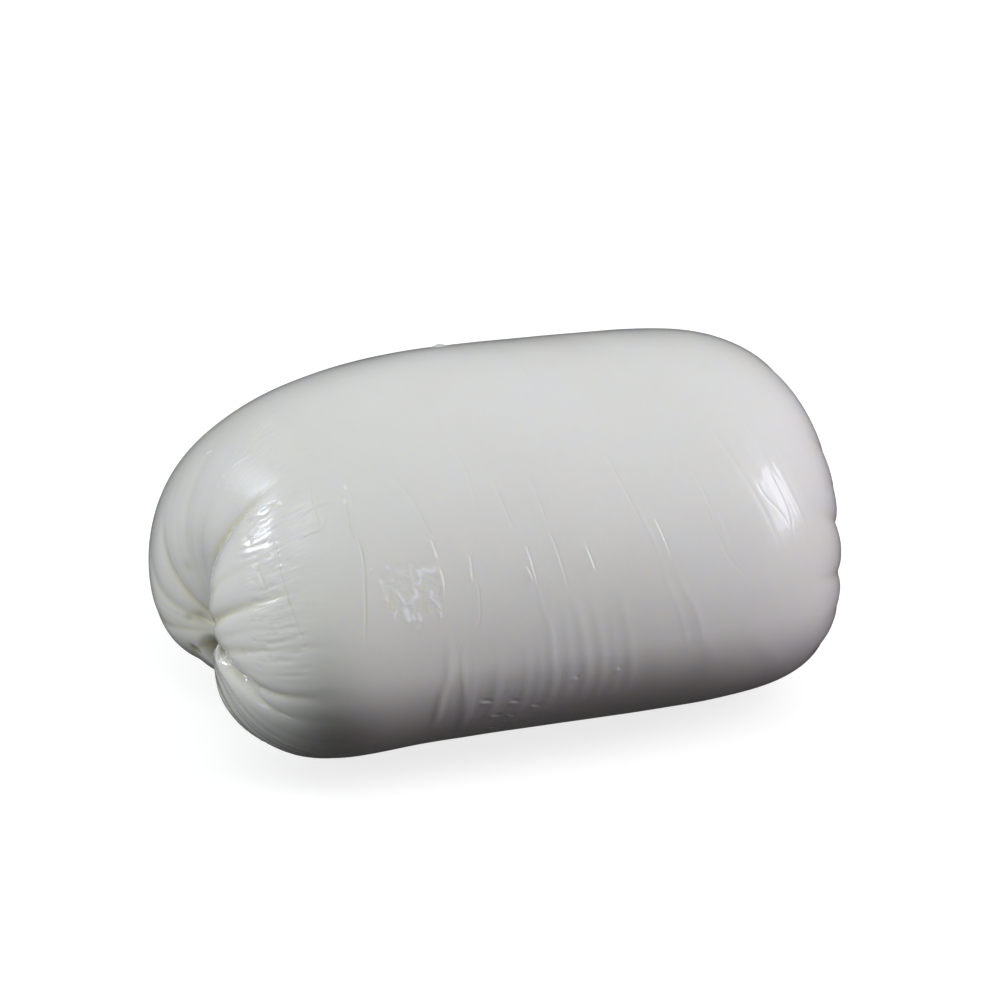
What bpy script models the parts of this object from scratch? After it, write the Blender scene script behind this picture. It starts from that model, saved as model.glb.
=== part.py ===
"""A log of fresh mozzarella lying on a table, as one solid.

Soft pulled curd is rolled into a loaf and its skin is drawn together to a pinch at both ends. Pleats run
from each pinch over the shoulders, and a deep cleft parts the left end into a front and a back lobe. The
loaf has sagged: its widest level is low, and it stands on a flat spot pressed by its own weight.

Metres, +Z up. +X runs along the loaf to its right end, -Y is the front, and the origin is on the table
under the middle of the loaf. Angles round the loaf are in degrees from the front, upwards.
"""

import bmesh
import bpy
import numpy as np

MM = 0.001

# The smooth loaf, before its skin is drawn in
HALF_LENGTH = 61 * MM
HALF_WIDTH = 41.4 * MM
HEIGHT = 63.6 * MM
WIDEST_LEVEL = 24.3 * MM  # height of the widest line over the table
SAG = 1.5 * MM  # how far the round underside would reach below the table

# Each outline is fullest at one place, and falls to both ends: a fullness of 2 and a corner of 2 make
# an ellipse, and more makes the shoulder blunter
TOP_OUTLINE = {"at": 11.6 * MM, "fullness": (3.64, 4.65), "corner": (2.23, 2.09)}
LOW_OUTLINE = {"at": 7.3 * MM, "fullness": (4.67, 7.06), "corner": (2, 2)}
SIDE_OUTLINE = {"at": -15.2 * MM, "fullness": (7.78, 4.86), "corner": (2, 2)}

# Two places of the left end's front lobe bulge out: bearing round the loaf's own middle or place at x,
# height, and how far the bulge reaches
FOOT_BULGE = 1.9 * MM
FOOT_AT = -43.9 * MM
FOOT_LENGTH = 13.4 * MM
FOOT_BEARING = -52
CHEEK_BULGE = 2.0 * MM
CHEEK_BEARING = 52
CHEEK_FROM_PINCH = 20 * MM
CHEEK_RADIUS = 12 * MM

# The pinch at each end: its height over the table, and how deep and how wide its funnel is. Under it runs
# a notch to the table, between the two lobes: how far it goes in and up, its half width, how much wider
# it is above the pinch, and the distances from the pinch at which it starts to fade and is gone
LEFT_PINCH = {
    "side": -1,
    "level": 13.8 * MM,
    "funnel": (5 * MM, 3.5 * MM),
    "notch": {
        "into": 5.5 * MM,
        "up": 3.1 * MM,
        "width": 13.6 * MM,
        "spread": 0.59,
        "fade": (11.2 * MM, 41.8 * MM),
    },
}
RIGHT_PINCH = {
    "side": 1,
    "level": 18.6 * MM,
    "funnel": (6.5 * MM, 8 * MM),
    "notch": {
        "into": 1.5 * MM,
        "up": 2.2 * MM,
        "width": 10 * MM,
        "spread": 1,
        "fade": (8 * MM, 30 * MM),
    },
}

# The cleft that parts the lobes above the left pinch lies in a shallow hollow
CLEFT_BEARING = 75
CLEFT_HOLLOW = 1.5 * MM
CLEFT_HALF_WIDTH = 6 * MM
CLEFT_FADE = (12 * MM, 54 * MM)

# Pleats that run from a pinch: bearing near the pinch and further out, depth, width and length. The first
# one on the left is the cleft between the lobes
LEFT_PLEATS = (
    (81, 74.5, 2.6 * MM, 1.5 * MM, 54 * MM),
    (63, 61, 0.6 * MM, 1.3 * MM, 34 * MM),
    (53, 49, 1.0 * MM, 1.3 * MM, 41 * MM),
    (45, 43, 0.5 * MM, 1.2 * MM, 36 * MM),
    (39, 37, 1.7 * MM, 1.4 * MM, 46 * MM),
    (32, 31, 0.5 * MM, 1.2 * MM, 36 * MM),
    (26, 24.5, 1.3 * MM, 1.3 * MM, 43 * MM),
    (20, 18, 0.4 * MM, 1.2 * MM, 38 * MM),
    (18, 11.5, 0.9 * MM, 1.3 * MM, 43 * MM),
    (27, 6, 1.9 * MM, 1.5 * MM, 44 * MM),
    (12, -5, 0.6 * MM, 1.4 * MM, 38 * MM),
    (0, -14, 0.7 * MM, 1.4 * MM, 36 * MM),
    (-14, -25, 0.7 * MM, 1.5 * MM, 35 * MM),
    (-32, -40, 0.7 * MM, 1.6 * MM, 33 * MM),
    (97, 94, 0.4 * MM, 1.8 * MM, 34 * MM),
    (111, 106, 0.8 * MM, 1.8 * MM, 38 * MM),
    (135, 117, 1.2 * MM, 1.9 * MM, 44 * MM),
    (147, 131, 0.4 * MM, 1.8 * MM, 34 * MM),
    (161, 141, 0.8 * MM, 1.9 * MM, 38 * MM),
    (178, 162, 0.6 * MM, 1.8 * MM, 32 * MM),
    (197, 186, 0.6 * MM, 1.8 * MM, 30 * MM),
    (217, 210, 0.6 * MM, 1.8 * MM, 30 * MM),
)
RIGHT_PLEATS = (
    (84, 84, 1.9 * MM, 1.6 * MM, 46 * MM),
    (62, 58, 0.9 * MM, 1.7 * MM, 42 * MM),
    (47, 46, 0.6 * MM, 1.6 * MM, 38 * MM),
    (34, 34, 1.5 * MM, 1.8 * MM, 46 * MM),
    (14, 16, 1.3 * MM, 1.7 * MM, 44 * MM),
    (0, 2, 0.7 * MM, 1.6 * MM, 38 * MM),
    (-16, -13, 1.1 * MM, 1.7 * MM, 38 * MM),
    (-33, -31, 0.8 * MM, 1.7 * MM, 34 * MM),
    (-54, -52, 0.9 * MM, 1.7 * MM, 30 * MM),
    (106, 102, 0.9 * MM, 1.8 * MM, 40 * MM),
    (121, 121, 1.3 * MM, 1.8 * MM, 42 * MM),
    (139, 139, 0.7 * MM, 1.7 * MM, 36 * MM),
    (156, 152, 1.2 * MM, 1.8 * MM, 40 * MM),
    (172, 172, 0.8 * MM, 1.7 * MM, 36 * MM),
    (190, 190, 1.1 * MM, 1.8 * MM, 36 * MM),
    (212, 212, 0.8 * MM, 1.7 * MM, 32 * MM),
    (236, 236, 0.9 * MM, 1.8 * MM, 30 * MM),
)
PLEAT_BIRTH = 5 * MM  # pleats rise out of the pinch over this distance from its axis
PLEAT_FADE = 14 * MM  # and are at their deepest up to this distance
BEND = (16 * MM, 40 * MM)  # their bearing changes between these distances

# A torn patch on the front, its flakes laid by crossed waves (pitch, direction, start), and a nub of curd
# on the top
TORN_AT = -32.5 * MM
TORN_BEARING = 21.5
TORN_RADIUS = 6.4 * MM
TORN_RELIEF = 0.8 * MM
FLAKE_WAVES = (
    (4.3 * MM, 24, 0.3),
    (3.1 * MM, 97, 1.9),
    (5.2 * MM, -41, 0.8),
    (2.4 * MM, 58, 2.6),
)
NUB_AT = -10.6 * MM
NUB_BEARING = 101
NUB_RADIUS = 1.3 * MM
NUB_HEIGHT = 0.7 * MM

# Mesh fineness
SEGMENTS = 88
RINGS = 62
CROWDING = 0.3  # how far the rings crowd towards the two ends

CHEESE_COLOUR = (0.80, 0.79, 0.74, 1.0)


def ease(t):
    """0 below 0, 1 above 1, and smooth between."""
    t = np.clip(t, 0, 1)
    return t * t * (3 - 2 * t)


def fall(x, outline):
    """An outline's share of its full size at x: 1 where it is fullest, 0 at both ends."""
    left = x < outline["at"]
    room = np.where(left, outline["at"] + HALF_LENGTH, HALF_LENGTH - outline["at"])
    share = np.clip(np.abs(x - outline["at"]) / room, 0, 1)
    fullness = np.where(left, *outline["fullness"])
    corner = np.where(left, *outline["corner"])
    return np.clip(1 - share**fullness, 0, 1) ** (1 / corner)


def loaf(along, around):
    """Points of the smooth loaf. along runs from 0 at the left pinch to pi at the right one."""
    x = -np.cos(along) * HALF_LENGTH
    top, low, side = fall(x, TOP_OUTLINE), fall(x, LOW_OUTLINE), fall(x, SIDE_OUTLINE)
    way = (x + HALF_LENGTH) / (2 * HALF_LENGTH)
    pinch = LEFT_PINCH["level"] * (1 - way) + RIGHT_PINCH["level"] * way
    crest = pinch + (HEIGHT - pinch) * top
    floor = pinch * (1 - low) - SAG * low
    widest = pinch + (WIDEST_LEVEL - pinch) * side
    rise = np.sin(around)
    y = -HALF_WIDTH * side * np.cos(around)
    z = widest + np.where(rise > 0, crest - widest, widest - floor) * rise
    return np.stack([x, y, z], axis=-1)


def outward(along, around):
    """Unit normals of the smooth loaf."""
    step = 1e-3
    lengthwise = loaf(along + step, around) - loaf(along - step, around)
    crosswise = loaf(along, around + step) - loaf(along, around - step)
    normal = np.cross(lengthwise, crosswise)
    size = np.linalg.norm(normal, axis=-1, keepdims=True)
    pole = np.zeros_like(normal)
    pole[..., 0] = -np.sign(np.cos(along))
    at_pinch = np.sin(along) < step
    return np.where(at_pinch[..., None], pole, normal / np.maximum(size, 1e-12))


class Gather:
    """How the loaf's points lie as seen from one pinch."""

    def __init__(self, points, pinch):
        offset = points - np.array([pinch["side"] * HALF_LENGTH, 0, pinch["level"]])
        self.ahead = -offset[:, 1]
        self.above = offset[:, 2]
        self.spread = np.hypot(self.ahead, self.above)
        self.reach = np.linalg.norm(offset, axis=1)
        self.bearing = np.arctan2(self.above, self.ahead)
        self.half = pinch["side"] * points[:, 0] > 0

    def beside(self, bearing):
        """Distance to the side of the ray on a bearing, and whether a point is on its half."""
        turn = (self.bearing - np.radians(bearing) + np.pi) % (2 * np.pi) - np.pi
        return np.abs(turn) * self.spread, np.abs(turn) < np.pi / 2


def cleft(gather):
    aside, facing = gather.beside(CLEFT_BEARING)
    start, end = CLEFT_FADE
    fade = 1 - ease((gather.reach - start) / (end - start))
    birth = ease(gather.spread / PLEAT_BIRTH)
    return -CLEFT_HOLLOW * np.exp(-((aside / CLEFT_HALF_WIDTH) ** 2)) * fade * birth * (facing & gather.half)


def pleat(gather, near, far, depth, width, length):
    start, end = BEND
    aside, facing = gather.beside(near + (far - near) * ease((gather.reach - start) / (end - start)))
    fade = 1 - ease((gather.reach - PLEAT_FADE) / (length - PLEAT_FADE))
    birth = ease(gather.spread / PLEAT_BIRTH)
    return -depth * np.exp(-aside / width) * fade * birth * (facing & gather.half)


def drawn_in(gather, pinch):
    """How the funnel and the notch move the skin. Both push it the same way all over, into the end."""
    depth, width = pinch["funnel"]
    into = depth * np.exp(-gather.spread / width)
    notch = pinch["notch"]
    above = np.maximum(gather.above, 0) * notch["spread"]
    start, end = notch["fade"]
    share = np.exp(-((np.hypot(gather.ahead, above) / notch["width"]) ** 2))
    share *= 1 - ease((gather.reach - start) / (end - start))
    move = np.zeros((len(into), 3))
    move[:, 0] = -pinch["side"] * (into + notch["into"] * share)
    move[:, 2] = notch["up"] * share
    return move * gather.half[:, None]


def foot(points, around):
    swell = np.exp(-(((points[:, 0] - FOOT_AT) / FOOT_LENGTH) ** 2))
    return FOOT_BULGE * swell * np.clip(np.cos(around - np.radians(FOOT_BEARING)), 0, 1) ** 2


def cheek(gather):
    bearing = np.radians(CHEEK_BEARING)
    ahead = gather.ahead - CHEEK_FROM_PINCH * np.cos(bearing)
    above = gather.above - CHEEK_FROM_PINCH * np.sin(bearing)
    return CHEEK_BULGE * np.exp(-((np.hypot(ahead, above) / CHEEK_RADIUS) ** 2)) * gather.half


def spot(x, bearing):
    """The one point of the smooth loaf at x and at an angle round it."""
    along = np.arccos(-x / HALF_LENGTH)
    return loaf(np.array([along]), np.array([np.radians(bearing)]))[0]


def torn(points):
    """Ragged flakes: ridges inside a round patch that fade out at its rim."""
    offset = points - spot(TORN_AT, TORN_BEARING)
    inside = 1 - ease(np.linalg.norm(offset, axis=1) / TORN_RADIUS)
    ridges = np.ones(len(points))
    for pitch, direction, start in FLAKE_WAVES:
        across = offset[:, 0] * np.cos(np.radians(direction)) + offset[:, 2] * np.sin(np.radians(direction))
        ridges -= 0.6 * np.abs(np.sin(np.pi * across / pitch + start))
    return TORN_RELIEF * np.clip(ridges, -0.6, 0.6) * inside


def nub(points):
    distance = np.linalg.norm(points - spot(NUB_AT, NUB_BEARING), axis=1)
    return NUB_HEIGHT * (1 - ease(distance / NUB_RADIUS))


def skin(along, around):
    """Points of the real surface: the smooth loaf with its pinches, lobes, pleats and marks."""
    points = loaf(along, around)
    left, right = Gather(points, LEFT_PINCH), Gather(points, RIGHT_PINCH)
    relief = foot(points, around) + cheek(left) + cleft(left) + torn(points) + nub(points)
    relief += sum(pleat(left, *sizes) for sizes in LEFT_PLEATS)
    relief += sum(pleat(right, *sizes) for sizes in RIGHT_PLEATS)
    surface = points + outward(along, around) * relief[:, None]
    return surface + drawn_in(left, LEFT_PINCH) + drawn_in(right, RIGHT_PINCH)


def angles(vertices):
    """Where sphere vertices lie along and round the loaf. The sphere's poles are the two pinches."""
    spots = np.array([vertex.co[:] for vertex in vertices])
    along = np.arccos(np.clip(spots[:, 2], -1, 1))
    return along - CROWDING * np.sin(2 * along) / 2, np.arctan2(spots[:, 1], spots[:, 0])


def refine(sphere, x, bearing, radius, rounds):
    """Cut the mesh finer round one spot of the loaf."""
    centre = spot(x, bearing)
    for _ in range(rounds):
        vertices = list(sphere.verts)
        near = np.linalg.norm(loaf(*angles(vertices)) - centre, axis=1) < radius
        chosen = {vertex for vertex, inside in zip(vertices, near) if inside}
        edges = [edge for edge in sphere.edges if chosen.issuperset(edge.verts)]
        bmesh.ops.subdivide_edges(sphere, edges=edges, cuts=1, use_grid_fill=True)
        for vertex in sphere.verts:
            vertex.co.normalize()


def stand(mesh):
    """Press the underside flat on the table."""
    everything = mesh.verts[:] + mesh.edges[:] + mesh.faces[:]
    bmesh.ops.bisect_plane(mesh, geom=everything, plane_co=(0, 0, 0), plane_no=(0, 0, -1), clear_outer=True)
    rim = [edge for edge in mesh.edges if edge.is_boundary]
    for edge in rim:
        for vertex in edge.verts:
            vertex.co.z = 0
    bmesh.ops.edgeloop_fill(mesh, edges=rim)
    bmesh.ops.recalc_face_normals(mesh, faces=mesh.faces)


def cheese_material():
    material = bpy.data.materials.new("fresh_cheese")
    material.use_nodes = True
    shader = material.node_tree.nodes["Principled BSDF"]
    shader.inputs["Base Color"].default_value = CHEESE_COLOUR
    shader.inputs["Roughness"].default_value = 0.25
    shader.inputs["Metallic"].default_value = 0
    return material


def build_log():
    sphere = bmesh.new()
    bmesh.ops.create_uvsphere(sphere, u_segments=SEGMENTS, v_segments=RINGS, radius=1)
    refine(sphere, TORN_AT, TORN_BEARING, 1.3 * TORN_RADIUS, rounds=2)
    refine(sphere, NUB_AT, NUB_BEARING, 3.5 * NUB_RADIUS, rounds=2)
    for vertex, point in zip(sphere.verts, skin(*angles(sphere.verts))):
        vertex.co = point
    stand(sphere)
    mesh = bpy.data.meshes.new("mozzarella_log")
    sphere.to_mesh(mesh)
    sphere.free()
    mesh.materials.append(cheese_material())
    mesh.shade_smooth()
    mesh.set_sharp_from_angle(angle=np.radians(60))
    return bpy.data.objects.new("mozzarella_log", mesh)


for old in list(bpy.data.objects):
    bpy.data.objects.remove(old)
cheese = bpy.data.collections.new("fresh_mozzarella")
bpy.context.scene.collection.children.link(cheese)
cheese.objects.link(build_log())
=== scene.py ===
"""A hand-formed log of fresh mozzarella on a pale table top, in soft studio light."""

import math

import bmesh
import bpy
import numpy as np
from mathutils import Matrix, Vector, noise


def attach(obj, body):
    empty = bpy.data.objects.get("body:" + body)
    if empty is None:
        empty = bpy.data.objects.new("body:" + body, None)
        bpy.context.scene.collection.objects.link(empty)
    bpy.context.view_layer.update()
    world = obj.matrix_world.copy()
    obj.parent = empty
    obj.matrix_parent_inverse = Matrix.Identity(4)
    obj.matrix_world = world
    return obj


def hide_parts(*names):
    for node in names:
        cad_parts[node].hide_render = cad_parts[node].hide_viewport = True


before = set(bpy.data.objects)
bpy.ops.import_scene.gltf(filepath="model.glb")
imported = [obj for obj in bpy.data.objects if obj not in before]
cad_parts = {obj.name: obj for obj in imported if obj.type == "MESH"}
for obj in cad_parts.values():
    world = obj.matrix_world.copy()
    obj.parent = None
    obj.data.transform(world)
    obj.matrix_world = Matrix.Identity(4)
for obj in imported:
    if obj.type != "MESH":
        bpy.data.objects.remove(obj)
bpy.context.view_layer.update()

# ---------------------------------------------------------------------------------------------------
# The loaf. Warm pulled curd is rolled into a log and its skin is drawn together to a pinch at both
# ends; while it cools in brine it sags, so its widest line is low and its underside is flat. Places on
# it are given by x and by an angle round it, in degrees from the front, upwards.
MM = 0.001
HALF_LENGTH = 61 * MM
HALF_WIDTH = 41.4 * MM
HEIGHT = 63.6 * MM
WIDEST_LEVEL = 24.3 * MM
SAG = 1.5 * MM

# Each outline is fullest at one place and falls to both ends, with blunt shoulders
TOP_OUTLINE = {"at": 11.6 * MM, "fullness": (3.64, 4.65), "corner": (2.23, 2.09)}
LOW_OUTLINE = {"at": 7.3 * MM, "fullness": (4.67, 7.06), "corner": (2, 2)}
SIDE_OUTLINE = {"at": -15.2 * MM, "fullness": (7.78, 4.86), "corner": (2, 2)}

LEFT_PINCH = {
    "side": -1,
    "level": 13.8 * MM,
    "funnel": (5 * MM, 3.5 * MM),
    "notch": {
        "into": 5.5 * MM,
        "up": 3.1 * MM,
        "width": 13.6 * MM,
        "spread": 0.59,
        "fade": (11.2 * MM, 41.8 * MM),
    },
}
RIGHT_PINCH = {
    "side": 1,
    "level": 18.6 * MM,
    "funnel": (6.5 * MM, 8 * MM),
    "notch": {
        "into": 1.5 * MM,
        "up": 2.2 * MM,
        "width": 10 * MM,
        "spread": 1,
        "fade": (8 * MM, 30 * MM),
    },
}


def ease(t):
    """0 below 0, 1 above 1, and smooth between."""
    t = np.clip(t, 0, 1)
    return t * t * (3 - 2 * t)


def fall(x, outline):
    left = x < outline["at"]
    room = np.where(left, outline["at"] + HALF_LENGTH, HALF_LENGTH - outline["at"])
    share = np.clip(np.abs(x - outline["at"]) / room, 0, 1)
    fullness = np.where(left, *outline["fullness"])
    corner = np.where(left, *outline["corner"])
    return np.clip(1 - share**fullness, 0, 1) ** (1 / corner)


def loaf(along, around):
    """Points of the smooth loaf. along runs from 0 at the left pinch to pi at the right one."""
    x = -np.cos(along) * HALF_LENGTH
    top, low, side = fall(x, TOP_OUTLINE), fall(x, LOW_OUTLINE), fall(x, SIDE_OUTLINE)
    way = (x + HALF_LENGTH) / (2 * HALF_LENGTH)
    pinch = LEFT_PINCH["level"] * (1 - way) + RIGHT_PINCH["level"] * way
    crest = pinch + (HEIGHT - pinch) * top
    floor = pinch * (1 - low) - SAG * low
    widest = pinch + (WIDEST_LEVEL - pinch) * side
    rise = np.sin(around)
    y = -HALF_WIDTH * side * np.cos(around)
    z = widest + np.where(rise > 0, crest - widest, widest - floor) * rise
    return np.stack([x, y, z], axis=-1)


def outward(along, around):
    """Unit normals of the smooth loaf."""
    step = 1e-3  # radians
    lengthwise = loaf(along + step, around) - loaf(along - step, around)
    crosswise = loaf(along, around + step) - loaf(along, around - step)
    normal = np.cross(lengthwise, crosswise)
    size = np.linalg.norm(normal, axis=-1, keepdims=True)
    pole = np.zeros_like(normal)
    pole[..., 0] = -np.sign(np.cos(along))
    at_pinch = np.sin(along) < step
    return np.where(at_pinch[..., None], pole, normal / np.maximum(size, 1e-12))


class Gather:
    """How the loaf's points lie as seen from one pinch."""

    def __init__(self, points, pinch):
        offset = points - np.array([pinch["side"] * HALF_LENGTH, 0, pinch["level"]])
        self.ahead = -offset[:, 1]
        self.above = offset[:, 2]
        self.spread = np.hypot(self.ahead, self.above)
        self.reach = np.linalg.norm(offset, axis=1)
        self.bearing = np.arctan2(self.above, self.ahead)
        self.half = pinch["side"] * points[:, 0] > 0

    def beside(self, bearing):
        """Distance above the ray on a bearing, and whether a point is on the ray's half."""
        turn = (self.bearing - np.radians(bearing) + np.pi) % (2 * np.pi) - np.pi
        return turn * self.spread, np.abs(turn) < np.pi / 2


def drawn_in(gather, pinch):
    """How the funnel and the notch move the skin."""
    depth, width = pinch["funnel"]
    into = depth * np.exp(-gather.spread / width)
    notch = pinch["notch"]
    above = np.maximum(gather.above, 0) * notch["spread"]
    start, end = notch["fade"]
    share = np.exp(-((np.hypot(gather.ahead, above) / notch["width"]) ** 2))
    share *= 1 - ease((gather.reach - start) / (end - start))
    move = np.zeros((len(into), 3))
    move[:, 0] = -pinch["side"] * (into + notch["into"] * share)
    move[:, 2] = notch["up"] * share
    return move * gather.half[:, None]


# The front lobe of the left end is plump at its foot and at its cheek
FOOT_BULGE, FOOT_AT, FOOT_LENGTH, FOOT_BEARING = 1.9 * MM, -43.9 * MM, 13.4 * MM, -52
CHEEK_BULGE, CHEEK_BEARING, CHEEK_FROM_PINCH, CHEEK_RADIUS = 2.0 * MM, 52, 20 * MM, 12 * MM


def foot(points, around):
    swell = np.exp(-(((points[:, 0] - FOOT_AT) / FOOT_LENGTH) ** 2))
    return FOOT_BULGE * swell * np.clip(np.cos(around - np.radians(FOOT_BEARING)), 0, 1) ** 2


def cheek(gather):
    bearing = np.radians(CHEEK_BEARING)
    ahead = gather.ahead - CHEEK_FROM_PINCH * np.cos(bearing)
    above = gather.above - CHEEK_FROM_PINCH * np.sin(bearing)
    return CHEEK_BULGE * np.exp(-((np.hypot(ahead, above) / CHEEK_RADIUS) ** 2)) * gather.half


# The cleft above the left pinch, and the pleats that run from both pinches: bearing near the pinch and
# further out, depth, width, how far they reach, and where they start if that isn't the pinch
CLEFT_BEARING = 71
CLEFT_HOLLOW = 1.4 * MM
CLEFT_HALF_WIDTH = 6 * MM
CLEFT_FADE = (12 * MM, 50 * MM)
LEFT_PLEATS = (
    (76, 69.5, 2.15 * MM, 1.3 * MM, 45 * MM),
    (53, 48.5, 0.5 * MM, 1.7 * MM, 41 * MM),
    (39, 36.5, 1.2 * MM, 1.0 * MM, 46 * MM),
    (30, 29, 0.3 * MM, 0.8 * MM, 40 * MM),
    (25.5, 22.8, 0.75 * MM, 0.6 * MM, 47 * MM),
    (20, 11, 0.9 * MM, 0.9 * MM, 48 * MM, 19 * MM),
    (27, 5, 1.9 * MM, 1.3 * MM, 44 * MM),
    (16, -22, 0.3 * MM, 0.9 * MM, 38 * MM, 8 * MM),
    (4, -34, 0.35 * MM, 1.2 * MM, 36 * MM, 6 * MM),
    (-12, -44, 0.4 * MM, 1.5 * MM, 33 * MM),
    (95, 92, 0.15 * MM, 2.4 * MM, 36 * MM),
    (114, 111, 0.3 * MM, 2.4 * MM, 44 * MM),
    (141, 133.5, 0.75 * MM, 1.4 * MM, 30 * MM),
    (163, 152, 0.4 * MM, 1.9 * MM, 30 * MM),
    (184, 172, 0.4 * MM, 2.0 * MM, 32 * MM),
    (210, 204, 0.5 * MM, 1.8 * MM, 30 * MM),
)
RIGHT_PLEATS = (
    (84, 84, 1.9 * MM, 1.6 * MM, 46 * MM),
    (62, 58, 0.9 * MM, 1.7 * MM, 42 * MM),
    (47, 46, 0.6 * MM, 1.6 * MM, 38 * MM),
    (34, 34, 1.5 * MM, 1.8 * MM, 46 * MM),
    (14, 16, 1.3 * MM, 1.7 * MM, 44 * MM),
    (0, 2, 0.7 * MM, 1.6 * MM, 38 * MM),
    (-16, -13, 1.1 * MM, 1.7 * MM, 38 * MM),
    (-33, -31, 0.8 * MM, 1.7 * MM, 34 * MM),
    (-54, -52, 0.9 * MM, 1.7 * MM, 30 * MM),
    (106, 102, 0.9 * MM, 1.8 * MM, 40 * MM),
    (121, 121, 1.3 * MM, 1.8 * MM, 42 * MM),
    (139, 139, 0.7 * MM, 1.7 * MM, 36 * MM),
    (156, 152, 1.2 * MM, 1.8 * MM, 40 * MM),
    (172, 172, 0.8 * MM, 1.7 * MM, 36 * MM),
    (190, 190, 1.1 * MM, 1.8 * MM, 36 * MM),
    (212, 212, 0.8 * MM, 1.7 * MM, 32 * MM),
    (236, 236, 0.9 * MM, 1.8 * MM, 30 * MM),
)
PLEAT_BIRTH = 5 * MM
PLEAT_FADE = 14 * MM
PLEAT_ROUND = 0.08
BEND = (12 * MM, 38 * MM)

# Fine pleats lie between the large ones. They are spread by chance over a span of bearings, and they
# bend as the large pleats beside them do: bearings near the pinch, and the same further out. Each kind
# has its bearings, count, depths, widths, distance from the pinch and length, in millimetres
chance = np.random.default_rng(11)
FINE_PLACES = (0.1, 0.9)
FINE_TURN = 1.5
FINE_BIRTH = 8 * MM
LEFT_BEND = (
    (-30, 0, 6, 10, 14, 18, 22, 25, 26, 39, 53, 63, 80),
    (-52, -41, -36, -30, -23, -15, -6, 2, 23, 36.5, 48.5, 60, 71),
)
BACK_BEND = ((84, 95, 114, 141, 163, 184, 210), (78, 92, 111, 133.5, 152, 172, 204))
SWEEP = ((14, 26, 39, 53, 63, 84), (9, 18, 28, 38, 46, 62))
STRAIGHT = ((-80, 280), (-80, 280))
LIP_WRINKLES = ((26, 75), 20, (0.05, 0.14), (0.3, 0.5), (2, 12), (8, 14))
LOBE_PLEATS = ((-8, 26), 26, (0.08, 0.22), (0.22, 0.45), (6, 18), (22, 28))
FOLD_LINES = ((15, 26), 9, (0.05, 0.12), (0.18, 0.3), (3, 12), (22, 28))
STEM_PLEATS = ((12, 25), 5, (0.03, 0.07), (0.3, 0.5), (24, 30), (12, 16))
RIPPLES = ((22, 92), 62, (0.03, 0.09), (0.14, 0.26), (28, 36), (5, 13))
FIBRES = ((26, 100), 100, (0.05, 0.12), (0.13, 0.2), (31, 42), (1.6, 3.6))
BACK_PLEATS = ((84, 217), 12, (0.02, 0.07), (0.5, 0.9), (0, 4), (26, 40))
RIGHT_FINE = ((-80, 280), 40, (0.06, 0.2), (0.4, 0.8), (0, 4), (24, 38))


def fine_pleats(kind, bend):
    """Rows for shallow pleats, spread unevenly over the bearings of one gather."""
    (low, high), count, depths, widths, starts, lengths = kind
    places = low + (high - low) * (np.arange(count) + chance.uniform(*FINE_PLACES, count)) / count
    rows = []
    for place in places:
        turned = np.interp(place, *bend) + chance.uniform(-FINE_TURN, FINE_TURN)
        sizes = [chance.uniform(*span) * MM for span in (depths, widths, starts, lengths)]
        depth, width, start, length = sizes
        rows.append((place, turned, depth, width, start + length, start))
    return rows


def cleft(gather):
    aside, facing = gather.beside(CLEFT_BEARING)
    start, end = CLEFT_FADE
    fade = 1 - ease((gather.reach - start) / (end - start))
    birth = ease(gather.spread / PLEAT_BIRTH)
    return -CLEFT_HOLLOW * np.exp(-((aside / CLEFT_HALF_WIDTH) ** 2)) * fade * birth * (facing & gather.half)


def pleat(gather, near, far, depth, width, length, birth_reach=None):
    """How deep a pleat lies under each point, and how far aside of its valley the point is."""
    start, end = BEND
    aside, facing = gather.beside(near + (far - near) * ease((gather.reach - start) / (end - start)))
    fade_start = PLEAT_FADE
    if birth_reach is None:
        birth = ease(gather.spread / PLEAT_BIRTH)
    else:
        rise = min(FINE_BIRTH, (length - birth_reach) / 2)
        fade_start = max(min(PLEAT_FADE, length - rise), birth_reach + rise)
        birth = ease((gather.reach - birth_reach) / rise)
    fade = 1 - ease((gather.reach - fade_start) / (length - fade_start))
    bottom = PLEAT_ROUND * max(width**2 / MM, MM)
    off = np.hypot(aside, bottom) - bottom
    return depth * np.exp(-off / width) * fade * birth * (facing & gather.half), np.abs(aside)


# Marks that don't run from a pinch follow courses over the skin. Their places are x in millimetres and
# degrees round the loaf: on the front where the real marks are, on the far side chosen freely
FAR = 1.0
NEARBY = 6 * MM
BENDS_PER_PLACE = 6


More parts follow.
